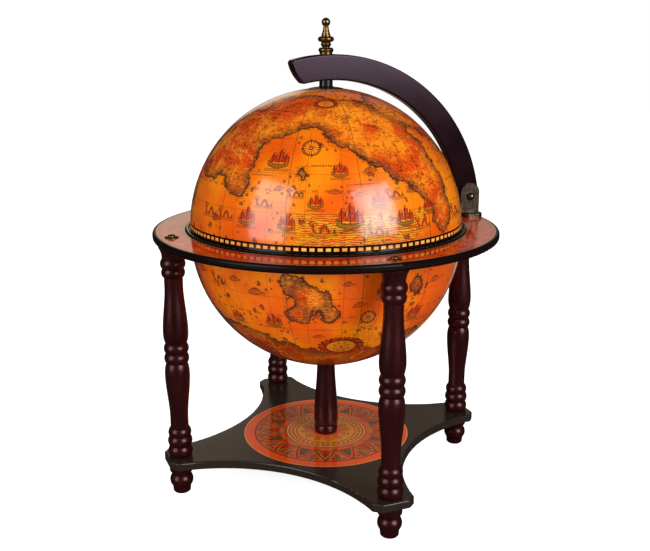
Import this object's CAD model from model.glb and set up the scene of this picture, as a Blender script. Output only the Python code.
"""Looks of the tabletop globe bar: a printed globe that opens, in a turned four-legged stand.

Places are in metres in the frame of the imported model: the origin is on the floor under the globe's
polar axis, and the arm's hinge stands on the +X side. Finishes work in millimetres, because their
patterns are a few millimetres across.
"""

import logging
import math
from dataclasses import dataclass, field
from enum import Enum
from functools import reduce
from operator import or_
from typing import Callable, Sequence

import bmesh
import bpy
import numpy as np
from mathutils import Matrix, Vector


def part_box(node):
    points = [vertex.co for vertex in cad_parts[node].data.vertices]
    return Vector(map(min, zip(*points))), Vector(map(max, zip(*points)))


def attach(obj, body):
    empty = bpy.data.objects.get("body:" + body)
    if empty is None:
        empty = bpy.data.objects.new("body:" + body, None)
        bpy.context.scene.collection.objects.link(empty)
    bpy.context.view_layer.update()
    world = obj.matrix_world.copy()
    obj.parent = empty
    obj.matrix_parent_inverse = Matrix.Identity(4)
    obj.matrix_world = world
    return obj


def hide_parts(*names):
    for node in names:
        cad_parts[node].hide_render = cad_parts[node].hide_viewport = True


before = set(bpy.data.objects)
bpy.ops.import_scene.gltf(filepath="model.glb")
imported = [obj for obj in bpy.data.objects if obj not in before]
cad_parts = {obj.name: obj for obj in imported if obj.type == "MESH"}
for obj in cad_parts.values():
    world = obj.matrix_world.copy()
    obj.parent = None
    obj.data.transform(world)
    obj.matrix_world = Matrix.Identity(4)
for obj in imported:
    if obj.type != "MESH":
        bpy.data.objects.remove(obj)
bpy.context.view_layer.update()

log = logging.getLogger("globe_bar")

Colour = tuple[float, float, float, float]

MM = 0.001
DEGREE = math.pi / 180


def srgb(red: int, green: int, blue: int) -> Colour:
    """Linear colour of an ordinary 8-bit one.

    Args:
        red: Red, 0 to 255.
        green: Green, 0 to 255.
        blue: Blue, 0 to 255.

    Returns:
        The colour as Blender's sockets take it, opaque.
    """
    parts = [value / 255 for value in (red, green, blue)]
    linear = [part / 12.92 if part <= 0.04045 else ((part + 0.055) / 1.055) ** 2.4 for part in parts]
    return (*linear, 1.0)


# ---------------------------------------------------------------- shader trees
class Signal:
    """A value that changes over a surface. Arithmetic on it adds nodes to its tree."""

    def __init__(self, tree: "Tree", socket: bpy.types.NodeSocket) -> None:
        """Hold an output socket of a tree."""
        self.tree = tree
        self.socket = socket

    def __add__(self, other: "Signal | float") -> "Signal":
        """Sum."""
        return self.tree.math("ADD", self, other)

    def __sub__(self, other: "Signal | float") -> "Signal":
        """Difference."""
        return self.tree.math("SUBTRACT", self, other)

    def __rsub__(self, other: float) -> "Signal":
        """Difference from a number."""
        return self.tree.math("SUBTRACT", other, self)

    def __mul__(self, other: "Signal | float") -> "Signal":
        """Product."""
        return self.tree.math("MULTIPLY", self, other)

    def __truediv__(self, other: "Signal | float") -> "Signal":
        """Quotient."""
        return self.tree.math("DIVIDE", self, other)

    def __and__(self, other: "Signal | float") -> "Signal":
        """Where both masks are."""
        return self.tree.math("MINIMUM", self, other)

    def __or__(self, other: "Signal | float") -> "Signal":
        """Where either mask is."""
        return self.tree.math("MAXIMUM", self, other)

    def __invert__(self) -> "Signal":
        """Where the mask isn't."""
        return 1.0 - self

    def size(self) -> "Signal":
        """The value without its sign."""
        return self.tree.math("ABSOLUTE", self)

    def sine(self) -> "Signal":
        """Sine of the value in radians."""
        return self.tree.math("SINE", self)

    def fraction(self) -> "Signal":
        """The part after the point, 0 to 1."""
        return self.tree.math("FRACT", self)

    def rise(self, low: float, high: float) -> "Signal":
        """0 up to low, 1 from high, smooth between."""
        return self.tree.slope(self, low, high, 0.0, 1.0)

    def fall(self, low: float, high: float) -> "Signal":
        """1 up to low, 0 from high, smooth between."""
        return self.tree.slope(self, low, high, 1.0, 0.0)

    def near(self, middle: float, half: float, soft: float) -> "Signal":
        """1 within half of middle, fading out over soft."""
        return (self - middle).size().fall(half, half + soft)

    def between(self, low: float, high: float, soft: float) -> "Signal":
        """1 from low + soft to high, fading out over soft at both ends."""
        return self.rise(low, low + soft) & self.fall(high, high + soft)

    def beside(self, output: str) -> "Signal":
        """Another output of the same node."""
        return Signal(self.tree, self.socket.node.outputs[output])

    def every(self, count: float) -> "Signal":
        """Distance to the nearest of count even marks over a range of 1, as a share of their step."""
        return ((self * count + 0.5).fraction() - 0.5).size()

    def lobes(self, count: int) -> "Signal":
        """Of a share of a turn: count waves round it, each from 0 up to 1 and back."""
        return (self * (math.tau * count / 2)).sine().size()


Masks = dict[str, Signal]


class Tree:
    """Short hand for building a shader node tree."""

    def __init__(self, tree: bpy.types.NodeTree) -> None:
        """Start from the emptied tree of a material, a world or a group."""
        self.nodes, self.links = tree.nodes, tree.links
        self.nodes.clear()

    def node(self, kind: str, inputs: "dict[str | int, object] | None" = None,
             **settings: object) -> bpy.types.Node:
        """Add a node.

        Args:
            kind: The node's type, without the word ShaderNode.
            inputs: The signals or values that its inputs take, by name or number.
            settings: The node's own settings.

        Returns:
            The node.
        """
        made = self.nodes.new("ShaderNode" + kind)
        for name, value in settings.items():
            setattr(made, name, value)
        for name, value in (inputs or {}).items():
            self.feed(made.inputs[name], value)
        return made

    def feed(self, socket: bpy.types.NodeSocket, value: object) -> None:
        """Link a signal to an input socket, or set the socket's own value.

        Args:
            socket: The input.
            value: What it takes.
        """
        if isinstance(value, Signal):
            self.links.new(value.socket, socket)
        else:
            socket.default_value = value

    def take(self, kind: str, inputs: "dict[str | int, object]", output: "str | int" = 0,
             **settings: object) -> Signal:
        """Add a node and take one of its outputs."""
        return Signal(self, self.node(kind, inputs, **settings).outputs[output])

    def math(self, operation: str, *values: "Signal | float") -> Signal:
        """One Math node over signals and numbers."""
        return self.take("Math", dict(enumerate(values)), operation=operation)

    def slope(self, value: Signal, low: float, high: float, start: float, end: float) -> Signal:
        """A smooth step of a signal from start, at low, to end, at high."""
        inputs = dict(enumerate((value, low, high, start, end)))
        return self.take("MapRange", inputs, interpolation_type="SMOOTHSTEP")

    def split(self, vector: Signal) -> list[Signal]:
        """The three parts of a vector."""
        return [Signal(self, part) for part in self.node("SeparateXYZ", {0: vector}).outputs]

    def map(self, vector: Signal, scale: Sequence[float], shift: Sequence[float] = (0, 0, 0)) -> Signal:
        """A vector scaled and then shifted."""
        return self.take("Mapping", {"Vector": vector, "Scale": scale, "Location": shift})

    def place(self) -> Signal:
        """Where a point is on its piece, in millimetres."""
        return self.map(self.take("TexCoord", {}, "Object"), (1 / MM,) * 3)

    def attribute(self, name: str, part: str = "Vector") -> Signal:
        """An attribute of the piece's mesh."""
        return self.take("Attribute", {}, part, attribute_name=name)

    def noise(self, at: Signal, scale: float, detail: float = 3.0, roughness: float = 0.5) -> Signal:
        """Cloudy noise around a half, with patches about 1 / scale millimetres across."""
        inputs = {"Vector": at, "Scale": scale, "Detail": detail, "Roughness": roughness}
        return self.take("TexNoise", inputs)

    def cells(self, at: Signal, scale: float, feature: str = "F1") -> Signal:
        """Distance in a field of scattered cells, about 1 / scale millimetres apart."""
        return self.take("TexVoronoi", {"Vector": at, "Scale": scale}, feature=feature)

    def strokes(self, at: Signal, scale: float, distortion: float) -> Signal:
        """Engraved strokes across the upright axis, bent by noise: 1 in their middles."""
        inputs = {"Vector": at, "Scale": scale, "Distortion": distortion, "Detail": 2.0}
        return self.take("TexWave", inputs | {"Detail Scale": 1.4}, "Fac", bands_direction="Z")

    def angle(self, y: Signal, x: Signal) -> Signal:
        """The way round from x to y, as a share of a turn on top of 1."""
        return self.math("ARCTAN2", y, x) / math.tau + 1.0

    def length(self, x: Signal, y: Signal) -> Signal:
        """Length of the two sides' diagonal."""
        return self.math("SQRT", x * x + y * y)

    def ball(self, place: Signal) -> tuple[Signal, Signal, Signal]:
        """Of a place on a ball: distance from its axis, way round it, and way up from its middle.

        Args:
            place: The place, from the centre.

        Returns:
            The three signals.
        """
        x, y, z = self.split(place)
        flat = self.length(x, y)
        return flat, self.angle(y, x), self.angle(z, flat)

    def blend(self, share: Signal, low: "Signal | Colour", high: "Signal | Colour",
              mode: str = "MIX") -> Signal:
        """Two colours mixed, the second one by its share, in one of Blender's modes."""
        return self.take("Mix", {0: share, 6: low, 7: high}, 2, data_type="RGBA", blend_type=mode)

    def bump(self, height: Signal, reach: float) -> Signal:
        """A normal bent by a height field that is reach millimetres deep."""
        return self.take("Bump", {"Height": height, "Distance": reach * MM})

    def use(self, effect: "Effect", place: Signal) -> Masks:
        """Put a shared effect in at a place, and take its outputs by name."""
        made = self.node("Group", {"Place": place}, node_tree=effect_group(effect))
        return {socket.name: Signal(self, socket) for socket in made.outputs}


class Canvas(Tree):
    """The tree of a finish, whose colour is laid on in coats."""

    colour: Signal

    def ground(self, share: Signal, low: Colour, high: "Signal | Colour") -> None:
        """Start from two colours mixed."""
        self.colour = self.blend(share, low, high)

    def lay(self, mask: Signal, colour: "Signal | Colour", share: float = 1.0, mode: str = "MIX") -> None:
        """Lay a colour on in a mask, hiding a share of what is below."""
        self.colour = self.blend(mask * share, self.colour, colour, mode)


# ---------------------------------------------------------------- shared effects
class Effect(Enum):
    """The effects that finishes share. The chart's motifs are the last six."""

    POLAR = "polar_places"
    WOOD = "wood_grain"
    VARNISH = "varnish"
    METAL = "aged_metal"
    SHIP = "ship"
    ROSE = "compass_rose"
    SERPENT = "sea_serpent"
    FISH = "leaping_fish"
    BEADS = "beaded_line"
    CARTOUCHE = "cartouche"


def polar_places(tree: Tree, place: Signal) -> Masks:
    """Distance from the upright axis in millimetres, and the way round it."""
    x, y, _ = tree.split(place)
    return {"Reach": tree.length(x, y), "Turn": tree.angle(y, x)}


def wood_grain(tree: Tree, place: Signal) -> Masks:
    """Broad figure and fine pores of a stained wood whose place is already drawn out along the grain."""
    figure, pores = tree.noise(place, 0.16, 4.0, 0.6), tree.noise(place, 1.6, 2.0, 0.7)
    return {"Figure": figure.rise(0.35, 0.68), "Pores": pores.rise(0.56, 0.70)}


def varnish(tree: Tree, place: Signal) -> Masks:
    """Unevenness of a brushed coat: cloudy tone, slow waves, and specks of dust."""
    return {
        "Cloud": tree.noise(place, 0.018, 3.0, 0.55).rise(0.3, 0.7),
        "Waves": tree.noise(place, 0.12, 1.0, 0.4),
        "Specks": tree.noise(place, 0.9, 2.0, 0.6).rise(0.66, 0.74),
    }


def aged_metal(tree: Tree, place: Signal) -> Masks:
    """Dark patina in patches, with rubbed spots and fine pits."""
    patches, fine = tree.noise(place, 0.22, 4.0, 0.62), tree.noise(place, 1.4, 3.0, 0.6)
    return {"Patina": (patches * 0.7 + fine * 0.3).rise(0.40, 0.60), "Pits": fine}


def ship(tree: Tree, place: Signal) -> Masks:
    """A three-masted ship in a box of -1 to 1: planked hull, rigging, streamers and filled sails.

    Args:
        tree: The group's tree.
        place: The place that it goes by.

    Returns:
        The masks by name.
    """
    x, y, _ = tree.split(place)
    bent = x * x
    stern = x.fall(-0.46, -0.40) * 0.13
    keel, rail = y - bent * 0.42 + 0.56, y - bent * 0.26 - stern + 0.24
    inside = keel.rise(-0.02, 0.02) & rail.fall(-0.02, 0.02) & x.size().fall(0.74, 0.80)
    planks = (keel * 9.0).every(1).fall(0.10, 0.20)
    hull = inside & (planks | rail.near(0.0, 0.03, 0.03) | keel.near(0.0, 0.04, 0.03))
    swell = (y + (x * 16.0).sine() * 0.03 + 0.62).every(14).fall(0.16, 0.28)
    lines = [hull, swell & y.near(-0.66, 0.10, 0.03) & x.size().fall(0.86, 0.98)]
    sails = []
    for mast, tall in ((-0.44, 0.60), (0.04, 0.88), (0.48, 0.56)):
        aside = x - mast
        stays = (aside.size() * 1.9 + y - tall).near(0.0, 0.022, 0.03) & y.rise(-0.12, -0.08)
        ripple = y - tall - 0.01 - (aside * 26.0).sine() * 0.02
        streamer = (aside - 0.10).near(0.0, 0.10, 0.03) & ripple.near(0.0, 0.035, 0.02)
        edge = (aside - 0.03 - (y * 2.2).sine().size() * 0.07).size() - 0.22 + y * 0.08
        cloth = edge.fall(-0.02, 0.02) & y.between(-0.12, tall - 0.16, 0.06)
        gap = y.near(tall * 0.42, 0.015, 0.03)
        lines += [aside.near(0.0, 0.022, 0.03) & y.between(-0.25, tall, 0.05), stays]
        lines += [cloth & (gap | edge.near(-0.01, 0.02, 0.03))]
        sails += [cloth & ~gap, streamer]
    return {"Body": inside, "Lines": reduce(or_, lines), "Sails": reduce(or_, sails)}


def compass_rose(tree: Tree, place: Signal) -> Masks:
    """A sixteen-pointed rose of radius 1 with rings round it.

    Args:
        tree: The group's tree.
        place: The place that it goes by.

    Returns:
        The masks by name.
    """
    x, y, _ = tree.split(place)
    reach, turn = tree.length(x, y), tree.angle(y, x)
    long_points = (reach - (0.5 - turn.every(4)) * 1.9).fall(-0.06, 0.02)
    short_points = (reach - (0.5 - (turn + 0.0625).every(8)) * 1.25).fall(-0.05, 0.02)
    points = (long_points | short_points) & reach.fall(0.92, 0.98)
    rings = reach.near(0.60, 0.022, 0.03) | reach.near(0.72, 0.022, 0.03) | reach.near(0.14, 0.03, 0.03)
    beads = reach.near(0.66, 0.03, 0.02) & turn.every(32).fall(0.2, 0.3)
    spokes = (turn.every(32) * reach * 2.4).fall(0.10, 0.35) & reach.rise(1.05, 1.15) & reach.fall(4.0, 6.5)
    halves = (turn * 16).fraction().rise(0.46, 0.54)
    return {"Points": points, "Halves": halves, "Lines": rings | beads, "Spokes": spokes}


def sea_serpent(tree: Tree, place: Signal) -> Masks:
    """A serpent whose coils rise out of the water, with a crested head and strokes of sea under it.

    Args:
        tree: The group's tree.
        place: The place that it goes by.

    Returns:
        The masks by name.
    """
    x, y, _ = tree.split(place)
    wave = x * 6.4 + 0.9
    spine = wave.sine() * (0.30 - x * 0.10) + 0.02
    steep = (wave + math.pi / 2).sine() * 1.9
    off = (y - spine) / tree.math("SQRT", steep * steep + 1.0)
    thick = 0.125 - x * 0.05
    body = (off.size() - thick).fall(-0.02, 0.02) & x.size().fall(0.84, 0.90) & y.rise(-0.20, -0.16)
    head_x, head_y = x + 0.72, y - 0.40
    from_head = head_x * head_x + head_y * head_y
    head = (head_x * head_x * 0.9 + head_y * head_y * 3.0).fall(0.030, 0.042)
    spikes = (head_y * 6.0 - head_x * 4.0).every(1).fall(0.22, 0.32)
    crest = from_head.near(0.075, 0.03, 0.02) & spikes & y.rise(0.34, 0.40)
    scales = (x * 34.0).sine().rise(0.0, 0.4) | off.near(0.0, 0.016, 0.02)
    outline = (off.size() - thick).near(0.0, 0.02, 0.02) & body
    sea = (y + (x * 14.0).sine() * 0.03).every(11).fall(0.15, 0.26) & y.near(-0.28, 0.14, 0.04)
    lines = (scales & body) | outline | crest | from_head.fall(0.0015, 0.004)
    return {"Body": body | head, "Lines": lines | (sea & x.size().fall(0.92, 1.05))}


def leaping_fish(tree: Tree, place: Signal) -> Masks:
    """A bent fish in a box of -1 to 1: scaled body, gill, fins, eye and forked tail.

    Args:
        tree: The group's tree.
        place: The place that it goes by.

    Returns:
        The masks by name.
    """
    x, y, _ = tree.split(place)
    lift = y - 0.10 + x * x * 0.24
    middle = x + 0.16
    edge = lift.size() - (0.27 - middle * middle * 0.55)
    body = edge.fall(-0.02, 0.02) & middle.size().fall(0.68, 0.72)
    tail_edge = lift.size() - (x - 0.44) * 0.62
    tail = tail_edge.fall(-0.02, 0.02) & x.rise(0.46, 0.50) & (x - lift.size() * 0.5).fall(0.66, 0.72)
    back = (edge - 0.09).fall(-0.02, 0.02) & lift.rise(0.0, 0.05) & (x + 0.05).size().fall(0.26, 0.34)
    fin = (edge - 0.06).fall(-0.02, 0.02) & lift.fall(-0.05, 0.0) & (x + 0.12).size().fall(0.10, 0.16)
    rays = (x * 11.0 + y * 3.0).every(1).fall(0.14, 0.26) & (back | fin | tail)
    scales = (x * 26.0 + y * 20.0).sine().rise(0.1, 0.5) & (x * 26.0 - y * 20.0).sine().rise(0.1, 0.5)
    scales = scales & body & x.rise(-0.48, -0.44)
    gill = (x + 0.48 + lift * lift * 1.4).near(0.0, 0.022, 0.02) & body
    eye = ((x + 0.62) * (x + 0.62) + (lift - 0.06) * (lift - 0.06)).fall(0.0016, 0.004)
    outline = edge.near(0.0, 0.022, 0.025) & middle.size().fall(0.70, 0.74)
    outline = outline | (tail_edge.near(0.0, 0.02, 0.02) & tail)
    return {"Body": body | tail | back | fin, "Lines": rays | scales | gill | eye | outline}


def beaded_line(tree: Tree, place: Signal) -> Masks:
    """A long ornament, 1 to each side: lozenges and rings in turn, tapering into thin tendrils.

    Args:
        tree: The group's tree.
        place: The place that it goes by.

    Returns:
        The masks by name.
    """
    x, y, _ = tree.split(place)
    step = x * 9.0
    near_x = ((step + 0.5).fraction() - 0.5) / 9.0
    odd = (step * 0.5 + 0.25).fraction().rise(0.49, 0.51)
    lozenge = (near_x.size() * 1.3 + y.size()).near(0.035, 0.018, 0.012)
    ring = tree.length(near_x, y).near(0.026, 0.012, 0.010)
    beads = (lozenge & odd) | (ring & ~odd)
    tendril = (y - (x * 30.0).sine() * 0.035).near(0.0, 0.008, 0.012) & x.size().rise(0.62, 0.66)
    return {"Lines": (beads & x.size().fall(0.60, 0.62)) | (tendril & x.size().fall(0.94, 1.0))}


def cartouche(tree: Tree, place: Signal) -> Masks:
    """An oval frame with scrolled lobes round a plain panel that holds a small flower.

    Args:
        tree: The group's tree.
        place: The place that it goes by.

    Returns:
        The masks by name.
    """
    x, y, _ = tree.split(place)
    reach = tree.math("SQRT", x * x + y * y * 1.9)
    turn = tree.angle(y, x)
    edge = reach - turn.lobes(24) * 0.10
    border = edge.fall(0.80, 0.84) & reach.rise(0.60, 0.64)
    lines = edge.near(0.83, 0.025, 0.03) | reach.near(0.62, 0.02, 0.03) | reach.near(0.70, 0.012, 0.02)
    curls = (turn * math.tau * 12 + reach * 14).sine().rise(0.5, 0.8) & border
    panel = reach.fall(0.58, 0.60)
    heart = tree.length(x, y)
    flower = (heart - turn.lobes(8) * 0.24).near(0.09, 0.015, 0.03) | heart.fall(0.05, 0.08)
    return {"Frame": border, "Panel": panel, "Lines": lines | curls | (flower & panel)}


EFFECTS: dict[Effect, Callable[[Tree, Signal], Masks]] = dict(zip(Effect, (
    polar_places, wood_grain, varnish, aged_metal,
    ship, compass_rose, sea_serpent, leaping_fish, beaded_line, cartouche,
)))


def effect_group(effect: Effect) -> bpy.types.NodeTree:
    """The node group of a shared effect, made the first time that it is asked for.

    Args:
        effect: Which effect.

    Returns:
        Its node group.
    """
    made = bpy.data.node_groups.get(effect.value)
    if made:
        return made
    made = bpy.data.node_groups.new(effect.value, "ShaderNodeTree")
    made.interface.new_socket("Place", in_out="INPUT", socket_type="NodeSocketVector")
    tree = Tree(made)
    start = tree.nodes.new("NodeGroupInput")
    masks = EFFECTS[effect](tree, Signal(tree, start.outputs["Place"]))
    for name in masks:
        made.interface.new_socket(name, in_out="OUTPUT", socket_type="NodeSocketFloat")
    end = tree.nodes.new("NodeGroupOutput")
    for name, mask in masks.items():
        tree.feed(end.inputs[name], mask)
    return made


# ---------------------------------------------------------------- finishes
@dataclass(frozen=True)
class Finish:
    """A surface's material. The settings here are the same all over it; paint adds what changes."""

    name: str
    colour: Colour = (0.5, 0.5, 0.5, 1.0)
    roughness: float = 0.4
    metallic: float = 0.0
    specular: float = 0.5
    coat: float = 0.0
    coat_roughness: float = 0.05
    specular_tint: Colour = (1.0, 1.0, 1.0, 1.0)

    def material(self) -> bpy.types.Material:
        """The finish's material, made the first time that it is asked for.

        Returns:
            The material.
        """
        made = bpy.data.materials.get(self.name)
        if made:
            return made
        made = bpy.data.materials.new(self.name)
        made.use_nodes = True
        tree = Canvas(made.node_tree)
        shader = tree.node("BsdfPrincipled", {
            "Base Color": self.colour, "Roughness": self.roughness, "Metallic": self.metallic,
            "Specular IOR Level": self.specular, "Coat Weight": self.coat,
            "Coat Roughness": self.coat_roughness, "Specular Tint": self.specular_tint,
        })
        for name, signal in self.paint(tree).items():
            tree.feed(shader.inputs[name], signal)
        tree.node("OutputMaterial", {"Surface": Signal(tree, shader.outputs[0])})
        return made

    def paint(self, tree: Canvas) -> Masks:
        """What changes over the surface, by the name of the shader's input."""
        return {}

    def coated(self, tree: Canvas, coat: Masks, depth: float, cloud: float = 0.0) -> Masks:
        """The painted colour under an uneven coat.

        Args:
            tree: The finish's tree.
            coat: The coat's unevenness.
            depth: How deep its waves are, in millimetres.
            cloud: How much rougher its clouds are, or 0 where the roughness is the same all over.

        Returns:
            What changes over the surface.
        """
        result = {"Base Color": tree.colour, "Normal": tree.bump(coat["Waves"], depth)}
        if cloud:
            result["Roughness"] = coat["Cloud"] * cloud + self.roughness
        return result

    def dress(self, *nodes: str) -> None:
        """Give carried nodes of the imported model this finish.

        Args:
            nodes: Names of the nodes.
        """
        for name in nodes:
            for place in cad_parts[name].material_slots:
                place.material = self.material()
            log.info("dressed %s in %s", name, self.name)


@dataclass(frozen=True)
class StainedWood(Finish):
    """Dark stained wood under a satin lacquer, its grain drawn out along one axis."""

    lighter: Colour = srgb(70, 26, 30)
    along: Sequence[float] = (1.0, 1.0, 0.08)

    def paint(self, tree: Canvas) -> Masks:
        """Grain in the colour, with slightly open pores and an uneven coat.

        Args:
            tree: The finish's tree.

        Returns:
            What changes, by the name of the shader's input.
        """
        place = tree.place()
        grain = tree.use(Effect.WOOD, tree.map(place, self.along))
        coat = tree.use(Effect.VARNISH, place)
        tree.ground(grain["Figure"] * 0.8, self.colour, self.lighter)
        tree.lay(grain["Pores"], srgb(18, 5, 7), 0.3)
        rough = coat["Cloud"] * 0.05 + (self.roughness - 0.02)
        height = coat["Waves"] * 0.15 - grain["Pores"] * 0.08
        return {"Base Color": tree.colour, "Roughness": rough, "Normal": tree.bump(height, 0.05)}


@dataclass(frozen=True)
class Lacquer(Finish):
    """Opaque lacquer or moulded plastic with a soft unevenness and a little dust."""

    dust: Colour = srgb(70, 66, 60)
    unevenness: float = 0.04

    def paint(self, tree: Canvas) -> Masks:
        """Specks of dust and an uneven gloss.

        Args:
            tree: The finish's tree.

        Returns:
            What changes, by the name of the shader's input.
        """
        coat = tree.use(Effect.VARNISH, tree.place())
        tree.ground(coat["Specks"] * 0.12, self.colour, self.dust)
        return self.coated(tree, coat, 0.03, self.unevenness)


@dataclass(frozen=True)
class Metal(Finish):
    """Metal with a darker patina that is rubbed off in places."""

    patina: Colour = srgb(60, 48, 34)
    cover: float = 0.8
    metallic: float = 1.0

    def paint(self, tree: Canvas) -> Masks:
        """Patina in the colour and the roughness, with fine pits.

        Args:
            tree: The finish's tree.

        Returns:
            What changes, by the name of the shader's input.
        """
        aged = tree.use(Effect.METAL, tree.place())
        tree.ground(aged["Patina"] * self.cover, self.colour, self.patina)
        rough = aged["Patina"] * 0.18 + self.roughness
        return {"Base Color": tree.colour, "Roughness": rough, "Normal": tree.bump(aged["Pits"], 0.06)}


@dataclass(frozen=True)
class HoopInlay(Finish):
    """Black lacquered hoop with a row of light blocks let into it."""

    blocks: int = 120
    block_share: float = 0.31
    low: float = 324.7
    high: float = 328.1
    block_colour: Colour = srgb(255, 184, 84)

    def paint(self, tree: Canvas) -> Masks:
        """The row of blocks, each a little different.

        Args:
            tree: The finish's tree.

        Returns:
            What changes, by the name of the shader's input.
        """
        place = tree.place()
        _, _, z = tree.split(place)
        step = tree.use(Effect.POLAR, place)["Turn"].every(self.blocks)
        middle, half = (self.low + self.high) / 2, (self.high - self.low) / 2
        mask = step.fall(self.block_share - 0.03, self.block_share + 0.03) & z.near(middle, half - 0.1, 0.2)
        each = tree.noise(place, 0.09, 1.0).rise(0.35, 0.65)
        tree.ground(mask, self.colour, tree.blend(each, self.block_colour, srgb(246, 146, 56)))
        return self.coated(tree, tree.use(Effect.VARNISH, place), 0.02)


@dataclass(frozen=True)
class RingPrint(Finish):
    """Varnished print of a calendar ring: borders, a scale of blocks, and rosettes between panels."""

    inner: float = 171.5
    outer: float = 205.4
    panels: int = 12
    petals: int = 16
    leaves: int = 60
    marks: int = 360
    inner_marks: int = 288

    def paint(self, tree: Canvas) -> Masks:
        """The printed ring in reds, under an uneven varnish.

        Args:
            tree: The finish's tree.

        Returns:
            What changes, by the name of the shader's input.
        """
        place = tree.place()
        reach, turn = tree.use(Effect.POLAR, place).values()
        coat = tree.use(Effect.VARNISH, place)
        tree.ground(tree.noise(place, 0.05, 4.0, 0.6).rise(0.34, 0.66), srgb(190, 34, 8), srgb(222, 74, 20))

        middle = (self.inner + self.outer) / 2
        panel = math.tau * middle / self.panels
        between = (turn + 0.5 / self.panels).every(self.panels)
        apart = (reach - middle).size()
        across = turn.every(self.panels) * panel
        spread = across * across + apart * apart
        flower = spread - turn.lobes(self.panels * self.petals) * 9.0
        diamond = between * panel * 0.55 + apart
        vine = (reach - middle - (turn * math.tau * self.leaves).sine() * 3.4).near(0.0, 0.35, 0.3)
        scatter = tree.noise(place, 0.42, 3.0, 0.7).rise(0.56, 0.64)
        ink = [
            reach.near(self.outer - 3.4, 1.0, 0.25) & turn.every(self.marks).fall(0.22, 0.28),
            reach.near(self.inner + 3.2, 0.9, 0.25) & turn.every(self.inner_marks).fall(0.22, 0.28),
            between.near(0.0, 0.006, 0.005) & reach.between(self.inner + 5.0, self.outer - 5.4, 0.2),
            flower.near(30.0, 10.0, 3.0) | spread.fall(3.0, 5.0),
            diamond.near(5.6, 0.45, 0.3) | diamond.near(3.2, 0.35, 0.3),
            vine & spread.rise(60.0, 80.0) & diamond.rise(6.2, 7.0),
            (scatter & reach.between(self.inner + 5.4, self.outer - 6.0, 0.6)) * 0.55,
        ]
        for border in (self.outer - 1.7, self.outer - 5.2, self.inner + 1.5, self.inner + 5.0):
            ink.append(reach.near(border, 0.28, 0.2))
        tree.lay(flower.fall(8.0, 14.0) | diamond.fall(2.6, 3.0), srgb(226, 96, 32), 0.4)
        tree.lay(reduce(or_, ink), srgb(70, 16, 8), 0.78)
        hems = reach.near(self.outer - 0.5, 0.35, 0.15) | reach.near(self.inner + 0.4, 0.3, 0.15)
        tree.lay(hems, srgb(222, 150, 92), 0.7)
        tree.lay(coat["Cloud"], srgb(96, 24, 10), 0.22)
        return self.coated(tree, coat, 0.03, 0.05)


@dataclass(frozen=True)
class BasePrint(Finish):
    """Varnished print of a compass star in rings, for the middle of the base board."""

    radius: float = 106.0
    border: float = 91.5
    tip: float = 89.0
    foot: float = 59.0
    core: float = 48.0
    points: int = 16
    petals: int = 12
    dots: int = 40

    def paint(self, tree: Canvas) -> Masks:
        """The star, its two-tone points and its rings, under an uneven varnish.

        Args:
            tree: The finish's tree.

        Returns:
            What changes, by the name of the shader's input.
        """
        place = tree.place()
        reach, turn = tree.use(Effect.POLAR, place).values()
        coat = tree.use(Effect.VARNISH, place)
        slate = srgb(88, 78, 46)
        tree.ground(tree.noise(place, 0.06, 4.0, 0.6).rise(0.3, 0.7), srgb(218, 96, 28), srgb(190, 70, 22))

        step = turn.every(self.points)
        rim = reach + step * (2.0 * (self.tip - self.foot)) - self.tip
        heart_rim = rim + 9.0
        heart = heart_rim.fall(-0.6, 0.6) & reach.rise(self.foot + 1.0, self.foot + 1.6)
        even = (turn * (self.points / 2) + 0.25).fraction().rise(0.49, 0.51)
        star = rim.fall(-0.6, 0.6) & reach.rise(self.foot - 4.0, self.foot - 3.4)
        tree.lay(star, tree.blend(even, srgb(226, 76, 20), srgb(190, 108, 42)))
        tree.lay(heart, tree.blend(even, slate, srgb(196, 46, 16)))
        between = (turn + 0.5 / self.points).every(self.points)
        tree.lay(between.fall(0.07, 0.10) & reach.between(self.tip - 16.0, self.tip, 0.6), slate, 0.85)
        edges = rim.near(0.0, 1.7, 1.2) | heart_rim.near(0.0, 1.0, 1.0)
        edges = edges & reach.rise(self.foot - 3.0, self.foot - 2.4)
        edges = edges & reach.fall(self.tip + 0.5, self.tip + 1.0)

        tree.lay(reach.fall(self.core, self.core + 0.5), srgb(222, 130, 36))
        flower = turn.lobes(self.petals) * 12.0
        tree.lay((reach - flower).fall(14.0, 15.0), srgb(226, 84, 30))
        ink = [
            edges,
            step.fall(0.010, 0.030) & heart,
            between.near(0.20, 0.035, 0.03) & reach.near(self.tip - 4.0, 1.3, 0.5),
            (reach - flower).near(15.0, 0.7, 0.5),
            (reach - flower * 0.6).near(24.0, 0.6, 0.5),
            reach.near(43.0, 1.5, 0.4) & turn.every(self.dots).fall(0.24, 0.32),
        ]
        for ring, half in ((38.0, 0.5), (self.core, 0.9), (self.core + 3.6, 0.5), (self.border, 0.8)):
            ink.append(reach.near(ring, half, 0.4))
        tree.lay(reach.rise(self.border, self.border + 0.5), srgb(240, 84, 22))
        tree.lay(reduce(or_, ink), srgb(58, 30, 16), 0.8)
        pale = reach.near(self.core + 1.9, 1.0, 0.4) | reach.near(self.radius - 1.0, 0.6, 0.3)
        tree.lay(pale, srgb(232, 142, 76))
        tree.lay(coat["Cloud"], srgb(140, 60, 20), 0.16)
        return self.coated(tree, coat, 0.02, 0.04)


INK = srgb(62, 30, 12)

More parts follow.
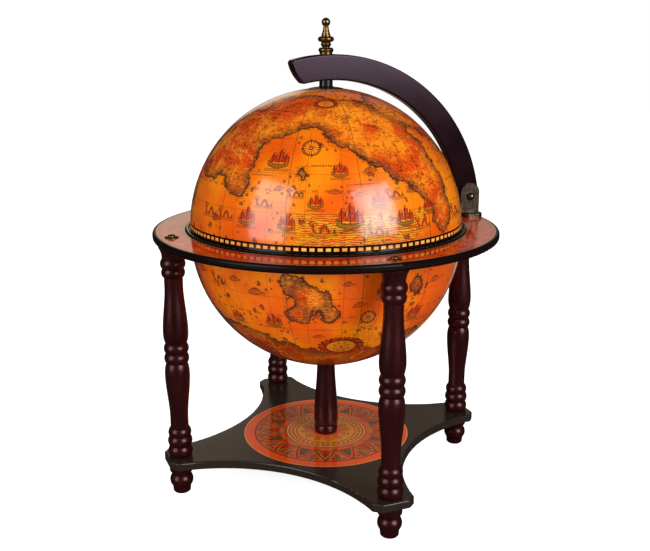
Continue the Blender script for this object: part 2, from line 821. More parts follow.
# How each kind of motif is coloured, in the order in which they are laid: mask, share and colour.
MOTIF_COATS: dict[Effect, tuple[tuple[str, float, Colour], ...]] = {
    Effect.BEADS: (("Lines", 0.85, INK),),
    Effect.ROSE: (("Lines", 0.85, INK),),
    Effect.FISH: (("Body", 0.7, srgb(204, 88, 20)), ("Lines", 0.85, INK)),
    Effect.SERPENT: (("Body", 0.85, srgb(214, 76, 18)), ("Lines", 0.85, INK)),
    Effect.SHIP: (("Body", 0.8, srgb(150, 104, 24)), ("Sails", 0.92, srgb(206, 44, 12)),
                  ("Lines", 0.9, INK)),
    Effect.CARTOUCHE: (("Frame", 0.9, srgb(190, 44, 12)), ("Panel", 0.8, srgb(226, 130, 30)),
                       ("Lines", 0.85, INK)),
}


@dataclass(frozen=True)
class ChartPrint(Finish):
    """Varnished chart of invented lands and seas on the outside of a half globe.

    It reads attributes that Chart puts on the mesh: chart, the place on the ball in millimetres;
    land, how far inside a coast a point is; and one for each kind of motif.
    """

    slot: str = "globe_print"
    radius: float = 165.0
    raggedness: float = 30.0
    meridians: int = 24
    gores: int = 12
    gore_start: float = 0.1875
    tropic: float = 23.5

    def paint(self, tree: Canvas) -> Masks:
        """Sea, land, coasts, lines and motifs under one aged varnish.

        Args:
            tree: The finish's tree.

        Returns:
            What changes, by the name of the shader's input.
        """
        chart = tree.attribute("chart")
        ragged = (tree.noise(chart, 0.045, 8.0, 0.64) - 0.5) * self.raggedness
        inland = tree.attribute("land", "Fac") + ragged
        tree.ground(tree.noise(chart, 0.011).rise(0.36, 0.62), srgb(230, 90, 2), srgb(252, 139, 3))
        self.waves(tree, chart)
        self.islets(tree, chart)
        land = inland.rise(-0.2, 0.2)
        self.country(tree, chart, land)
        self.coast(tree, chart, inland, land)
        self.grid(tree, chart)
        self.motifs(tree)
        coat = tree.use(Effect.VARNISH, chart)
        tree.lay(tree.noise(chart, 0.5, 3.0, 0.6).rise(0.45, 0.75), srgb(150, 56, 8), 0.14)
        tree.lay(coat["Cloud"], srgb(176, 70, 14), 0.16, "MULTIPLY")
        tree.lay(coat["Specks"], srgb(90, 40, 12), 0.14)
        return self.coated(tree, coat, 0.04)

    def waves(self, tree: Canvas, chart: Signal) -> None:
        """A belt of engraved waves in yellow, olive and red near the globe's middle line.

        Args:
            tree: The finish's tree.
            chart: The place on the ball, in millimetres.
        """
        x, y, z = tree.split(chart)
        turn = tree.math("ARCTAN2", y, x)
        swell = (turn * 6.0 + 1.0).sine() * 6.0 + (turn * 17.0).sine() * 3.0
        belt = (z - swell * 0.5).near(20.0, 14.0, 14.0) & (turn * 3.0 + 0.42).sine().rise(-0.1, 0.5)
        wash = tree.noise(tree.map(chart, (1.0, 1.0, 2.0)), 0.10, 4.0, 0.6).rise(0.46, 0.54)
        tree.lay(belt, tree.blend(wash, srgb(214, 172, 20), srgb(226, 84, 14)), 0.6)
        engraved = tree.strokes(tree.map(chart, (1.0, 1.0, 1.5)), 0.085, 7.0)
        tree.lay(engraved.rise(0.66, 0.84) & belt, srgb(96, 52, 14), 0.7)
        tree.lay(engraved.fall(0.08, 0.20) & belt, srgb(250, 200, 60), 0.35)

    def islets(self, tree: Canvas, chart: Signal) -> None:
        """Small islands in groups of two sizes, dark at their shores, and scattered soundings.

        Args:
            tree: The finish's tree.
            chart: The place on the ball, in millimetres.
        """
        wander = (tree.noise(chart, 0.30, 1.0) - 0.5) * 0.4
        for scale, size, gather in ((0.062, 0.20, 0.53), (0.13, 0.22, 0.50)):
            reach = tree.cells(chart, scale) + wander
            groups = tree.noise(chart, 0.02 + scale * 0.05, 2.0).rise(gather, gather + 0.03)
            tree.lay(reach.fall(size, size + 0.02) & groups, srgb(84, 50, 22), 0.85)
            tree.lay(reach.fall(size * 0.4, size * 0.5) & groups, srgb(200, 60, 14), 0.9)
        shoals = tree.noise(chart, 0.028).rise(0.55, 0.62)
        tree.lay(tree.cells(chart, 0.30).fall(0.16, 0.24) & shoals, srgb(110, 44, 14), 0.7)

    def country(self, tree: Canvas, chart: Signal, land: Signal) -> None:
        """Lands: patches of colour, mounds, woods, borders and a few rivers.

        Args:
            tree: The finish's tree.
            chart: The place on the ball, in millimetres.
            land: Where land is.
        """
        _, _, z = tree.split(chart)
        tone = tree.noise(chart, 0.03, 4.0, 0.6).rise(0.38, 0.60)
        tree.lay(land, tree.blend(tone, srgb(226, 76, 10), srgb(254, 142, 20)))
        tree.lay(tree.noise(chart, 0.09, 4.0, 0.65).rise(0.52, 0.64) & land, srgb(186, 40, 10), 0.4)
        tree.lay(z.fall(-120.0, -70.0) & land, srgb(150, 26, 5), 0.75)
        dense = tree.noise(chart, 0.04, 2.0).rise(0.45, 0.55)
        hills, woods = self.mounds(tree, chart, 0.10, 0.27), self.mounds(tree, chart, 0.20, 0.28)
        tree.lay(((hills & dense) | (woods & ~dense)) & land, srgb(96, 34, 10), 0.65)
        dashes = tree.noise(tree.map(chart, (1.0, 1.0, 2.4)), 0.24, 2.0).rise(0.55, 0.61)
        rough = tree.noise(chart, 0.05, 3.0, 0.6).rise(0.42, 0.52)
        tree.lay(dashes & rough & land, srgb(116, 42, 12), 0.6)
        wander = tree.noise(chart, 0.08, 4.0).beside("Color")
        bent = tree.take("VectorMath", {0: wander, 1: (22.0,) * 3, 2: chart}, operation="MULTIPLY_ADD")
        dots = tree.noise(chart, 0.9, 0.0).rise(0.45, 0.55)
        bounds, rivers = (tree.cells(bent, scale, "DISTANCE_TO_EDGE") for scale in (0.022, 0.0125))
        tree.lay(bounds.fall(0.010, 0.020) & land & dots, srgb(84, 26, 10), 0.8)
        tree.lay(rivers.fall(0.004, 0.010) & land, srgb(250, 168, 56), 0.65)

    def mounds(self, tree: Canvas, chart: Signal, scale: float, size: float) -> Signal:
        """Small drawn mounds: the upper halves of rings, scattered.

        Args:
            tree: The finish's tree.
            chart: The place on the ball, in millimetres.
            scale: How close they stand, in mounds to a millimetre.
            size: Their size, as a share of their spacing.

        Returns:
            Where their lines are.
        """
        reach = tree.cells(chart, scale)
        _, _, spot_z = tree.split(reach.beside("Position"))
        _, _, z = tree.split(chart)
        drawn = reach.near(size, 0.055, 0.05) | reach.fall(size * 0.25, size * 0.45)
        return drawn & (z - spot_z).rise(-0.2, 0.4)

    def coast(self, tree: Canvas, chart: Signal, inland: Signal, land: Signal) -> None:
        """A dark shore with a broad brushed shade inside it and fine strokes out to sea.

        Args:
            tree: The finish's tree.
            chart: The place on the ball, in millimetres.
            inland: How far inside a coast a point is, in millimetres.
            land: Where land is.
        """
        _, _, z = tree.split(chart)
        streaks = tree.noise(tree.map(chart, (1.0, 1.0, 2.2)), 0.26, 3.0, 0.65).rise(0.36, 0.58)
        tree.lay(inland.fall(4.0, 16.0) & land & streaks, srgb(140, 62, 18), 0.5)
        tree.lay((inland.fall(2.0, 8.0) & land) * (streaks * 0.5 + 0.3), srgb(86, 60, 30))
        offshore = inland.rise(-5.5, -0.6) & inland.fall(-0.4, 0.0)
        tree.lay((z / 2.0).every(1).fall(0.16, 0.28) & offshore, srgb(116, 52, 12), 0.6)
        tree.lay(inland.near(0.0, 0.7, 0.5), srgb(54, 30, 14), 0.9)

    def grid(self, tree: Canvas, chart: Signal) -> None:
        """Meridians and parallels every fifteen degrees, with ticks on two of the parallels.

        Args:
            tree: The finish's tree.
            chart: The place on the ball, in millimetres.
        """
        flat, turn, north = tree.ball(chart)
        step = math.tau / self.meridians
        meridian = (turn.every(self.meridians) * flat * step).fall(0.18, 0.55) & flat.rise(20.0, 24.0)
        parallel = (north.every(self.meridians) * (self.radius * step)).fall(0.18, 0.55)
        tree.lay(meridian | parallel, srgb(110, 40, 10), 0.45)
        gore = (turn + self.gore_start).every(self.gores) * flat * (math.tau / self.gores)
        tree.lay(gore.fall(0.20, 0.70), srgb(96, 44, 14), 0.7)
        degrees = ((north - 1.0) * 360).size()
        tropic = degrees.near(self.tropic, 0.35, 0.1)
        blocks = tropic & (turn * 72).fraction().rise(0.48, 0.52)
        edges = degrees.near(self.tropic, 0.42, 0.08) & ~tropic
        tree.lay(blocks | edges, srgb(120, 42, 12), 0.5)

    def motifs(self, tree: Canvas) -> None:
        """Ornaments, roses with their lines, sea beasts, ships and cartouches, over the rest.

        Args:
            tree: The finish's tree.
        """
        for effect, coats in MOTIF_COATS.items():
            place = tree.attribute(effect.value)
            masks = tree.use(effect, place)
            _, _, close = tree.split(place)
            near = close.rise(0.75, 0.95)
            if effect is Effect.ROSE:
                tree.lay(masks["Spokes"] & near, srgb(120, 44, 10), 0.35)
                facets = tree.blend(masks["Halves"], srgb(160, 46, 12), srgb(244, 160, 40))
                tree.lay(masks["Points"] & near, facets)
            for name, share, colour in coats:
                tree.lay(masks[name] & near, colour, share)


@dataclass(frozen=True)
class LiningPrint(Finish):
    """Paper lining of a half globe: a plain night-sky grid with stars, in tans."""

    centre: float = 0.0
    radius: float = 160.0
    meridians: int = 12
    parallels: int = 24

    def paint(self, tree: Canvas) -> Masks:
        """Grid lines, stars in groups, and foxing.

        Args:
            tree: The finish's tree.

        Returns:
            What changes, by the name of the shader's input.
        """
        place = tree.map(tree.place(), (1, 1, 1), (0, 0, -self.centre))
        flat, turn, north = tree.ball(place)
        across = turn.every(self.meridians) * flat * (math.tau / self.meridians)
        up = north.every(self.parallels) * (self.radius * math.tau / self.parallels)
        lines = (across.fall(0.2, 0.6) & flat.rise(18.0, 22.0)) | up.fall(0.2, 0.6)
        tone = tree.noise(place, 0.03, 5.0, 0.6).rise(0.3, 0.7)
        tree.ground(tone, srgb(208, 132, 58), srgb(184, 100, 40))
        tree.lay(lines, srgb(112, 52, 20), 0.55)
        tree.lay(tree.cells(place, 0.022, "DISTANCE_TO_EDGE").fall(0.006, 0.014), srgb(120, 60, 30), 0.4)
        tree.lay(tree.cells(place, 0.07).fall(0.07, 0.10), srgb(120, 30, 14), 0.85)
        coat = tree.use(Effect.VARNISH, place)
        tree.lay(coat["Specks"], srgb(120, 74, 40), 0.3)
        return self.coated(tree, coat, 0.05)


# ---------------------------------------------------------------- all the finishes
MAHOGANY = StainedWood("mahogany_stain", srgb(32, 4, 5), 0.29, coat=0.1, coat_roughness=0.1,
                       specular_tint=(1.0, 0.48, 0.5, 1.0), lighter=srgb(44, 8, 10))
ARM_WOOD = StainedWood("mahogany_arm", srgb(19, 5, 6), 0.15, specular=0.26, lighter=srgb(30, 9, 9),
                       specular_tint=(0.98, 0.72, 0.98, 1.0), along=(0.08, 1.0, 0.3))
TRAY_WOOD = StainedWood("tray_stain", srgb(74, 28, 18), 0.38, lighter=srgb(104, 46, 28), along=(0.08, 1, 1))
BLACK_BOARD = Lacquer("black_board", srgb(40, 31, 26), 0.2, specular=0.42,
                      specular_tint=(1.0, 1.0, 0.93, 1.0))
BLACK_EDGE = Lacquer("black_edge", srgb(17, 7, 6), 0.3, specular=0.13)
BLACK_LIP = Lacquer("black_lip", srgb(8, 8, 9), 0.12, unevenness=0.02)
BLACK_PLASTIC = Lacquer("black_moulding", srgb(14, 14, 15), 0.22)
NYLON = Lacquer("nylon_moulding", srgb(214, 210, 198), 0.5)
FIBRE = Lacquer("pressed_fibre", srgb(150, 104, 66), 0.7)
HOOP = HoopInlay("hoop_inlay", srgb(10, 8, 8), 0.16, specular=0.4)
RING_PRINT = RingPrint("calendar_ring", roughness=0.09)
BASE_PRINT = BasePrint("compass_plate", roughness=0.05)
CHART = ChartPrint("chart_print", roughness=0.25, specular=0.15, coat=1.0, coat_roughness=0.115)
LOWER_LINING = LiningPrint("lining_lower", roughness=0.45, centre=313.4)
UPPER_LINING = LiningPrint("lining_upper", roughness=0.45, centre=320.7)
BRONZE = Metal("bronze_bracket", srgb(100, 86, 70), 0.3, patina=srgb(46, 37, 30))
BRASS = Metal("brass_aged", srgb(138, 112, 66), 0.26, patina=srgb(58, 42, 24), cover=0.85)
PIN_HEAD = Metal("blackened_pin", srgb(150, 142, 134), 0.1, patina=srgb(70, 64, 60))
ZINC = Metal("zinc_plate", srgb(176, 178, 180), 0.32, patina=srgb(120, 122, 124), cover=0.5)


# ---------------------------------------------------------------- the chart's lands and motifs
@dataclass(frozen=True)
class Spot:
    """A place on the globe in degrees east and north, a size in millimetres and a turn in degrees."""

    east: float
    north: float
    size: float
    turn: float = 0.0

    def direction(self) -> np.ndarray:
        """Unit vector from the ball's centre to the spot.

        Returns:
            The vector.
        """
        east, north = self.east * DEGREE, self.north * DEGREE
        flat = math.cos(north)
        return np.array([flat * math.cos(east), flat * math.sin(east), math.sin(north)])

    def axes(self) -> tuple[np.ndarray, np.ndarray]:
        """The motif's own right and up on the ball's surface.

        Returns:
            Two unit vectors.
        """
        east, north, turn = self.east * DEGREE, self.north * DEGREE, self.turn * DEGREE
        right = np.array([-math.sin(east), math.cos(east), 0.0])
        lean = -math.sin(north)
        up = np.array([lean * math.cos(east), lean * math.sin(east), math.cos(north)])
        return right * math.cos(turn) + up * math.sin(turn), up * math.cos(turn) - right * math.sin(turn)

    def apart(self, ways: np.ndarray, radius: float) -> np.ndarray:
        """Distance over a ball of a radius from the spot to the points that unit vectors lead to."""
        return np.arccos(np.clip(ways @ self.direction(), -1, 1)) * radius


def spots(*rows: Sequence[float]) -> tuple[Spot, ...]:
    """Several spots, each given as east, north, size and, where it is turned, turn."""
    return tuple(Spot(*row) for row in rows)


@dataclass(frozen=True)
class Chart:
    """The lands and motifs of one half globe, and how they are put on its mesh.

    A motif shows as far out as reach times its size, or plain_reach times where reach doesn't
    name its kind, and fades there over fade millimetres.
    """

    lands: tuple[Spot, ...]
    motifs: dict[Effect, tuple[Spot, ...]]
    reach: dict[Effect, float] = field(default_factory=lambda: {Effect.ROSE: 6.5, Effect.BEADS: 1.1})
    plain_reach: float = 1.6
    fade: float = 3.0
    smoothness: float = 6.0
    deepest: float = 60.0

    def print_on(self, mesh: bpy.types.Mesh, centre: float, radius: float) -> None:
        """Write the attributes that ChartPrint reads.

        Args:
            mesh: The half globe's mesh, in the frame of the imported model.
            centre: Height of the ball's centre, in metres.
            radius: The ball's radius, in metres.
        """
        places = np.empty(len(mesh.vertices) * 3)
        mesh.vertices.foreach_get("co", places)
        places = places.reshape(-1, 3) - (0.0, 0.0, centre)
        ways = places / np.linalg.norm(places, axis=1)[:, None]
        reach = radius / MM
        self.store(mesh, "chart", ways * reach)
        depths = (land.size - land.apart(ways, reach) for land in self.lands)
        total = sum(np.exp(depth / self.smoothness) for depth in depths)
        inside = np.log(np.maximum(total, 1e-9)) * self.smoothness
        self.store(mesh, "land", np.clip(inside, -self.deepest, self.deepest))
        for effect in self.motifs:
            self.store(mesh, effect.value, self.local(ways, effect, reach))

    def local(self, ways: np.ndarray, effect: Effect, radius: float) -> np.ndarray:
        """Each vertex's place in its nearest motif of a kind, scaled to 1, and whether it is near it.

        Args:
            ways: Unit vectors from the ball's centre to the vertices.
            effect: The kind of motif.
            radius: The ball's radius, in millimetres.

        Returns:
            A vector for each vertex.
        """
        places = self.motifs[effect]
        apart = np.array([spot.apart(ways, radius) for spot in places])
        nearest = apart.argmin(axis=0)
        result = np.zeros((len(ways), 3))
        for index, spot in enumerate(places):
            mine = nearest == index
            for part, axis in enumerate(spot.axes()):
                result[mine, part] = ways[mine] @ axis * radius / spot.size
            limit = spot.size * self.reach.get(effect, self.plain_reach)
            result[mine, 2] = np.clip((limit - apart[index][mine]) / self.fade, 0, 1)
        return result

    @staticmethod
    def store(mesh: bpy.types.Mesh, name: str, values: np.ndarray) -> None:
        """Put one attribute, of numbers or of vectors, on a mesh's vertices."""
        kind, part = ("FLOAT", "value") if values.ndim == 1 else ("FLOAT_VECTOR", "vector")
        mesh.attributes.new(name, kind, "POINT").data.foreach_set(part, values.astype(np.float32).ravel())


UPPER_CHART = Chart(
    lands=spots(
        (-176, 38, 38), (-166, 50, 40), (-156, 33, 26), (-150, 24, 13), (-147, 58, 40), (-128, 62, 30),
        (-96, 56, 38), (-82, 47, 40), (-70, 37, 36), (-62, 25, 26), (-58, 12, 20), (-104, 47, 10),
        (-40, 60, 40), (-20, 48, 44), (2, 36, 36), (12, 20, 26), (30, 55, 30), (62, 30, 34), (80, 42, 42),
        (98, 30, 30), (118, 22, 20), (112, 60, 34), (150, 28, 16), (-122, 30, 7), (170, 16, 12),
    ),
    motifs={
        Effect.SHIP: spots(
            (-134, 35, 16), (-106, 31, 12), (-127, 11, 13), (-116, 19, 11), (-103, 13, 19), (-91, 19, 12),
            (-80, 12, 15), (-67, 15, 11), (-144, 12, 14), (-30, 22, 15), (35, 30, 15), (140, 46, 15),
            (178, 30, 13), (-5, 10, 13), (90, 10, 13),
        ),
        Effect.ROSE: spots((-119, 41, 14), (40, 14, 16), (140, 12, 16), (-38, 38, 13)),
        Effect.SERPENT: spots(
            (-113, 9, 15), (-137, 18, 12), (-92, 8, 13), (-83, 21, 12, 6), (-71, 9, 12), (-124, 22, 10),
            (-155, 12, 13), (-45, 10, 16), (22, 6, 14), (75, 14, 16), (130, 33, 15), (160, 8, 15),
            (-165, 12, 14),
        ),
        Effect.FISH: spots(
            (-92, 31, 11), (-146, 43, 10), (-131, 24, 9, 12), (-108, 23, 9, -8), (-98, 22, 8, 8),
            (-75, 22, 8), (-160, 10, 11), (0, 16, 12), (55, 8, 12), (110, 8, 12), (-30, 10, 12),
            (150, 18, 12),
        ),
        Effect.CARTOUCHE: spots((-20, 9, 22), (103, 12, 22), (-176, 62, 18), (-112, 66, 15)),
        Effect.BEADS: spots(
            (-112, 33.5, 26), (-96, 26, 20), (-140, 29, 18), (-62, 58, 24), (-150, 60, 24),
            (10, 60, 24), (60, 20, 24), (125, 40, 22), (170, 40, 20),
        ),
    },
)

LOWER_CHART = Chart(
    lands=spots(
        (-126, -9, 11), (-118, -15, 16), (-124, -22, 12), (-110, -22, 9), (-112, -56, 30), (-98, -50, 24),
        (-132, -52, 34), (-150, -45, 30), (-163, -40, 22), (-75, -54, 30), (-62, -44, 24), (-50, -55, 34),
        (-74, -12, 10), (-20, -50, 34), (10, -20, 26), (20, -32, 24), (26, -46, 26), (60, -60, 34),
        (90, -30, 22), (98, -18, 26), (112, -26, 18), (140, -55, 30), (170, -20, 22), (178, -34, 24),
        (-172, -50, 26), (-40, -12, 12),
    ),
    motifs={
        Effect.SHIP: spots(
            (-135, -27, 13), (-70, -26, 14), (-155, -28, 12), (-88, -13, 13), (-30, -28, 15),
            (60, -28, 15), (135, -30, 14),
        ),
        Effect.ROSE: spots((-94, -24, 12), (-12, -32, 15), (75, -44, 15), (150, -34, 15)),
        Effect.SERPENT: spots(
            (-80, -36, 14, 10), (-160, -12, 14), (-5, -10, 14), (45, -10, 14), (130, -12, 15),
        ),
        Effect.FISH: spots(
            (-140, -14, 14), (-98, -18, 11, 10), (-103, -9, 9), (-150, -10, 11), (-62, -12, 12),
            (-115, -34, 9), (-20, -12, 13), (30, -4, 12), (80, -8, 12), (150, -12, 12), (-172, -10, 12),
        ),
        Effect.CARTOUCHE: spots((-104, -41, 28), (50, -42, 20), (160, -50, 20), (-62, -64, 16)),
        Effect.BEADS: spots(
            (-112, -30, 14), (-72, -17, 18), (-146, -42, 18), (-30, -20, 22), (60, -18, 22),
            (120, -42, 22),
        ),
    },
)


# ---------------------------------------------------------------- pieces
def piece_from(name: str, form: bmesh.types.BMesh, *materials: bpy.types.Material) -> bpy.types.Object:
    """Turn a finished bmesh into a smooth-shaded object at the origin.

    Args:
        name: The piece's name.
        form: Its mesh; it is freed.
        materials: Its materials, in the order of the faces' material numbers.

    Returns:
        The object, linked to the scene.
    """
    mesh = bpy.data.meshes.new(name)
    form.to_mesh(mesh)
    form.free()
    made = bpy.data.objects.new(name, mesh)
    bpy.context.scene.collection.objects.link(made)
    for material in materials:
        mesh.materials.append(material)
    mesh.polygons.foreach_set("use_smooth", [True] * len(mesh.polygons))
    return made


def settle(made: bpy.types.Object, sharp: float = 40.0) -> None:
    """Apply an object's modifiers, and keep the edges that turn by more than sharp degrees crisp.

    Args:
        made: The object.
        sharp: The angle, in degrees.
    """
    graph = bpy.context.evaluated_depsgraph_get()
    graph.update()
    mesh = bpy.data.meshes.new_from_object(made.evaluated_get(graph))
    mesh.name = made.name
    made.modifiers.clear()
    made.data = mesh
    mesh.set_sharp_from_angle(angle=sharp * DEGREE)


@dataclass
class Globe:
    """The printed ball in two halves, with its hoop, lip and linings."""

    upper_box: tuple[Vector, Vector] = field(default_factory=lambda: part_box("dome_shell"))
    band_box: tuple[Vector, Vector] = field(default_factory=lambda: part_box("dome_band"))
    lower_box: tuple[Vector, Vector] = field(default_factory=lambda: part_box("bowl_shell"))
    wall: float = 4.0 * MM
    hole: float = 4.4 * MM
    around: int = 400
    rings: int = 208

    def half(self, centre: float, radius: float, level: float, upper: bool) -> bmesh.types.BMesh:
        """Skin of half a ball, cut flat at a level and opened at its pole.

        Args:
            centre: Height of the ball's centre.
            radius: The ball's radius.
            level: Height of the cut.
            upper: Whether the part above the cut is kept.

        Returns:
            The open skin, its faces outwards.
        """
        form = bmesh.new()
        bmesh.ops.create_uvsphere(form, u_segments=self.around, v_segments=self.rings, radius=radius,
                                  matrix=Matrix.Translation((0, 0, centre)))
        bmesh.ops.bisect_plane(form, geom=form.verts[:] + form.edges[:] + form.faces[:], dist=1e-6,
                               plane_co=(0, 0, level), plane_no=(0, 0, 1),
                               clear_inner=upper, clear_outer=not upper)
        pole = [v for v in form.verts if v.co.xy.length < self.hole and abs(v.co.z - level) > radius / 2]
        bmesh.ops.delete(form, geom=pole, context="VERTS")
        return form

    def printed(self, name: str, form: bmesh.types.BMesh, chart: Chart, centre: float,
                radius: float) -> bpy.types.Object:
        """Print a chart on a skin, and give it its wall, inwards, with a plain fibre back.

        Args:
            name: The piece's name.
            form: The skin; it is freed.
            chart: The chart.
            centre: Height of the ball's centre.
            radius: The ball's radius.

        Returns:
            The half globe.
        """
        made = piece_from(name, form, CHART.material(), FIBRE.material())
        chart.print_on(made.data, centre, radius)
        wall = made.modifiers.new("wall", "SOLIDIFY")
        wall.thickness = self.wall
        wall.offset = -1.0
        wall.material_offset = 1
        wall.material_offset_rim = 1
        settle(made)
        return made

    def build_upper(self) -> bpy.types.Object:
        """The half that opens, from its hoop to its pole.

        Returns:
            The piece.
        """
        low, high = self.upper_box
        centre = self.band_box[0].z
        radius = high.z - centre
        form = self.half(centre, radius, low.z, True)
        made = self.printed("dome_chart", form, UPPER_CHART, centre, radius)
        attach(made, "dome")
        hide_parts("dome_shell")
        return made

    def build_lower(self) -> bpy.types.Object:
        """The half that stays in the stand, with its short upright wall.

        Returns:
            The piece.
        """
        low, high = self.lower_box
        radius = high.x
        centre = low.z + radius
        form = self.half(centre, radius, centre, False)
        rim = [edge for edge in form.edges if edge.is_boundary and abs(edge.verts[0].co.z - centre) < MM]
        wall = bmesh.ops.extrude_edge_only(form, edges=rim)["geom"]
        top = [part for part in wall if isinstance(part, bmesh.types.BMVert)]
        bmesh.ops.translate(form, verts=top, vec=(0, 0, high.z - centre))
        bmesh.ops.recalc_face_normals(form, faces=form.faces)
        made = self.printed("bowl_chart", form, LOWER_CHART, centre, radius)
        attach(made, "stand")
        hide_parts("bowl_shell")
        return made

    def dress(self) -> None:
        """Finish the carried pieces of the globe."""
        HOOP.dress("dome_band")
        BLACK_LIP.dress("bowl_rim")
        LOWER_LINING.dress("bowl_liner")
        UPPER_LINING.dress("dome_liner")
        TRAY_WOOD.dress("tray", "tray_ledge", "bottle_rest", "dome_hub")


@dataclass
class Stand:
    """Feet, base board, legs, ring and column."""

    sides: tuple[str, ...] = ("right", "back", "left", "front")

    def dress(self) -> None:
        """Finish the stand's carried pieces."""
        for side in self.sides:
            MAHOGANY.dress(f"foot_{side}", f"leg_{side}")
        MAHOGANY.dress("column")
        BLACK_BOARD.dress("base_board")
        BLACK_EDGE.dress("ring_board")
        BASE_PRINT.dress("base_print")
        RING_PRINT.dress("ring_print")
        BRASS.dress("leg_bolts", "leg_inserts")
        ZINC.dress("foot_studs", "column_screw", "column_bolt", "column_washer")


@dataclass
class Arm:
    """The curved arm with its hinge, polar bolt and finial."""

    def dress(self) -> None:
        """Finish the arm's carried pieces."""
        ARM_WOOD.dress("arm")
        BRONZE.dress("hinge_bracket", "bracket_screws", "hinge_nut")
        PIN_HEAD.dress("hinge_pin")
        BRASS.dress("finial", "hinge_bush")
        NYLON.dress("hinge_washers")
        BLACK_PLASTIC.dress("pole_spacer", "pole_skirt")
        ZINC.dress("pole_bolt", "pole_washer", "pole_nut")


# ---------------------------------------------------------------- studio
@dataclass(frozen=True)
class Softbox:
    """A rectangular lamp: the way to it from the globe, its size, and how bright its face is."""

    name: str
    azimuth: float
    elevation: float
    width: float
    height: float
    brightness: float
    distance: float = 3.2
    aim: tuple[float, float, float] = (-0.02, -0.13, 0.36)

    def build(self) -> None:
        """Make the lamp, turned to its aim."""
        side, rise = self.azimuth * DEGREE, self.elevation * DEGREE
        way = Vector((math.sin(side) * math.cos(rise), -math.cos(side) * math.cos(rise), math.sin(rise)))
        data = bpy.data.lights.new(self.name, "AREA")
        data.shape = "RECTANGLE"
        data.size, data.size_y = self.width, self.height
        data.energy = self.brightness * math.pi * self.width * self.height
        lamp = bpy.data.objects.new(self.name, data)
        lamp.location = Vector(self.aim) + way * self.distance
        lamp.rotation_euler = way.to_track_quat("Z", "Y").to_euler()
        lamp.visible_camera = False
        bpy.context.scene.collection.objects.link(lamp)


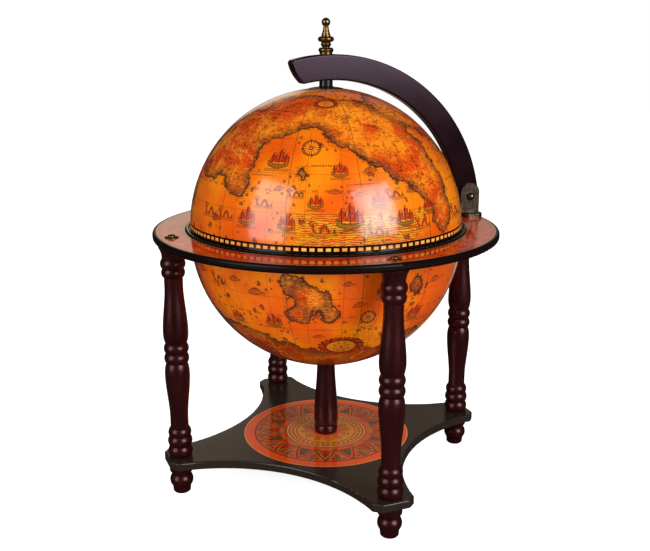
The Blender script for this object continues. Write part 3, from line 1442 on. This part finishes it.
@dataclass
class Studio:
    """Camera, lamps, surroundings and floor."""

    camera_at: tuple[float, float, float] = (-0.4167, -1.0367, 0.5461)
    camera_way: tuple[float, float, float] = (0.361, 0.898, -0.2513)
    lens: float = 51.37
    aside: float = -0.00154
    clip: tuple[float, float] = (0.05, 50.0)
    fill: float = 0.34
    dim: float = 0.035
    panel_turn: tuple[float, float] = (-0.24, -0.10)
    panel_rise: tuple[float, float] = (0.12, 0.52)
    haze: float = 0.6
    veil: float = 0.3
    floor_size: float = 9.0
    floor_lift: float = 0.85
    far_glow: float = 0.4
    near_glow: float = 0.55
    white: Colour = srgb(255, 255, 255)
    warmth: Colour = srgb(255, 232, 206)
    pale: Colour = srgb(238, 238, 238)
    pale_in_gloss: Colour = srgb(60, 58, 56)
    boxes: tuple[Softbox, ...] = (
        Softbox("softbox_left", -72.0, 17.0, 1.85, 2.50, 3.9),
        Softbox("softbox_right", 22.0, 19.0, 1.96, 2.24, 5.0),
        Softbox("softbox_right_core", 23.0, 19.0, 1.45, 1.70, 2.2, distance=3.15),
        Softbox("softbox_right_heart", 24.0, 19.0, 0.95, 1.20, 1.8, distance=3.10),
    )

    def build_camera(self) -> None:
        """Place the camera and make it the scene's."""
        data = bpy.data.cameras.new("camera")
        data.lens = self.lens
        data.shift_x = self.aside
        data.clip_start, data.clip_end = self.clip
        camera = bpy.data.objects.new("camera", data)
        camera.location = self.camera_at
        camera.rotation_euler = Vector(self.camera_way).to_track_quat("-Z", "Y").to_euler()
        bpy.context.scene.collection.objects.link(camera)
        bpy.context.scene.camera = camera

    def rays(self, tree: Tree) -> tuple[Signal, Signal]:
        """Rays from the camera, straight or through glass, and rays that gloss sends on."""
        camera = tree.take("LightPath", {}, "Is Camera Ray")
        return camera | camera.beside("Is Transmission Ray"), camera.beside("Is Glossy Ray")

    def bearings(self, tree: Tree, place: str) -> tuple[Signal, Signal, Signal]:
        """How a place lies from the camera's way.

        Args:
            tree: The tree.
            place: The name of the place among the outputs of Texture Coordinate.

        Returns:
            How far it is ahead along the camera's way, how far to the right of that, and how high.
        """
        x, y, high = tree.split(tree.take("TexCoord", {}, place))
        ahead = Vector(self.camera_way).xy.normalized()
        return x * ahead.x + y * ahead.y, x * ahead.y - y * ahead.x, high

    def build_world(self) -> None:
        """White surroundings for the camera and glass, a soft fill, and one bright panel in the gloss.

        The panel stands behind the object to the left, so that it shows in level gloss at a low angle.
        """
        world = bpy.data.worlds.new("surroundings")
        bpy.context.scene.world = world
        world.use_nodes = True
        tree = Tree(world.node_tree)
        seen, mirrored = self.rays(tree)
        deep, aside, high = self.bearings(tree, "Generated")
        front = deep.rise(0.3, 0.5)
        left, right = self.panel_turn
        low, top = self.panel_rise
        panel = aside.rise(left - 0.04, left) & aside.fall(right, right + 0.06) & front
        panel = panel & high.rise(low - 0.06, low) & high.fall(top - 0.1, top)
        panel = panel * (high.fall(0.2, 0.45) * 0.45 + 0.55)
        haze = aside.rise(0.10, 0.16) & aside.fall(0.26, 0.36) & high.rise(0.08, 0.14) & front
        haze = haze * (high.fall(0.24, 0.36) * 0.75 + 0.25) & high.fall(0.5, 0.6)
        veil = high.rise(0.26, 0.34) & high.fall(0.5, 0.6) & aside.size().fall(0.25, 0.35) & front
        gloss = panel | (haze * self.haze) | (veil * self.veil) | self.dim
        strength = seen | (mirrored * gloss) | (~mirrored * self.fill)
        colour = tree.blend(mirrored, self.white, self.warmth)
        background = tree.take("Background", {"Strength": strength, "Color": colour})
        tree.node("OutputWorld", {"Surface": background})

    def paper(self) -> bpy.types.Material:
        """The floor's material: pale, and glowing to the camera and in patches to the gloss.

        Returns:
            The material.
        """
        made = bpy.data.materials.new("floor_paper")
        made.use_nodes = True
        tree = Tree(made.node_tree)
        seen, mirrored = self.rays(tree)
        deep, aside, _ = self.bearings(tree, "Object")
        far = deep.rise(0.6, 1.4) & (aside + deep * 0.3).rise(-0.1, 0.1)
        far = far & (aside - deep * 0.4).fall(-0.1, 0.1)
        near = deep.rise(0.1, 0.3) & deep.fall(0.9, 1.2) & aside.rise(0.1, 0.2)
        near = near & (aside - deep * 0.8).fall(-0.15, 0.1)
        patches = (far * self.far_glow) | (near * self.near_glow)
        diffuse = tree.take("BsdfDiffuse", {"Color": tree.blend(mirrored, self.pale, self.pale_in_gloss)})
        strength = (seen * self.floor_lift) | (patches & mirrored)
        colour = tree.blend(mirrored, self.white, self.warmth)
        glow = tree.take("Emission", {"Strength": strength, "Color": colour})
        tree.node("OutputMaterial", {"Surface": tree.take("AddShader", {0: diffuse, 1: glow})})
        return made

    def build_floor(self) -> None:
        """A pale floor that is white to the camera and in gloss, and keeps the object's shadow."""
        form = bmesh.new()
        bmesh.ops.create_grid(form, x_segments=1, y_segments=1, size=self.floor_size / 2)
        floor = piece_from("floor", form, self.paper())

    def build(self) -> None:
        """Make the whole studio."""
        bpy.context.scene.view_settings.view_transform = "Standard"
        self.build_camera()
        self.build_world()
        self.build_floor()
        for box in self.boxes:
            box.build()


def main() -> None:
    """Build and dress the whole object, and set up the studio."""
    logging.basicConfig(level=logging.INFO, format="%(name)s: %(message)s")
    globe = Globe()
    for made in (globe.build_upper(), globe.build_lower()):
        log.info("built %s with %d faces", made.name, len(made.data.polygons))
    globe.dress()
    Stand().dress()
    Arm().dress()
    Studio().build()


if __name__ == "__main__":
    main()
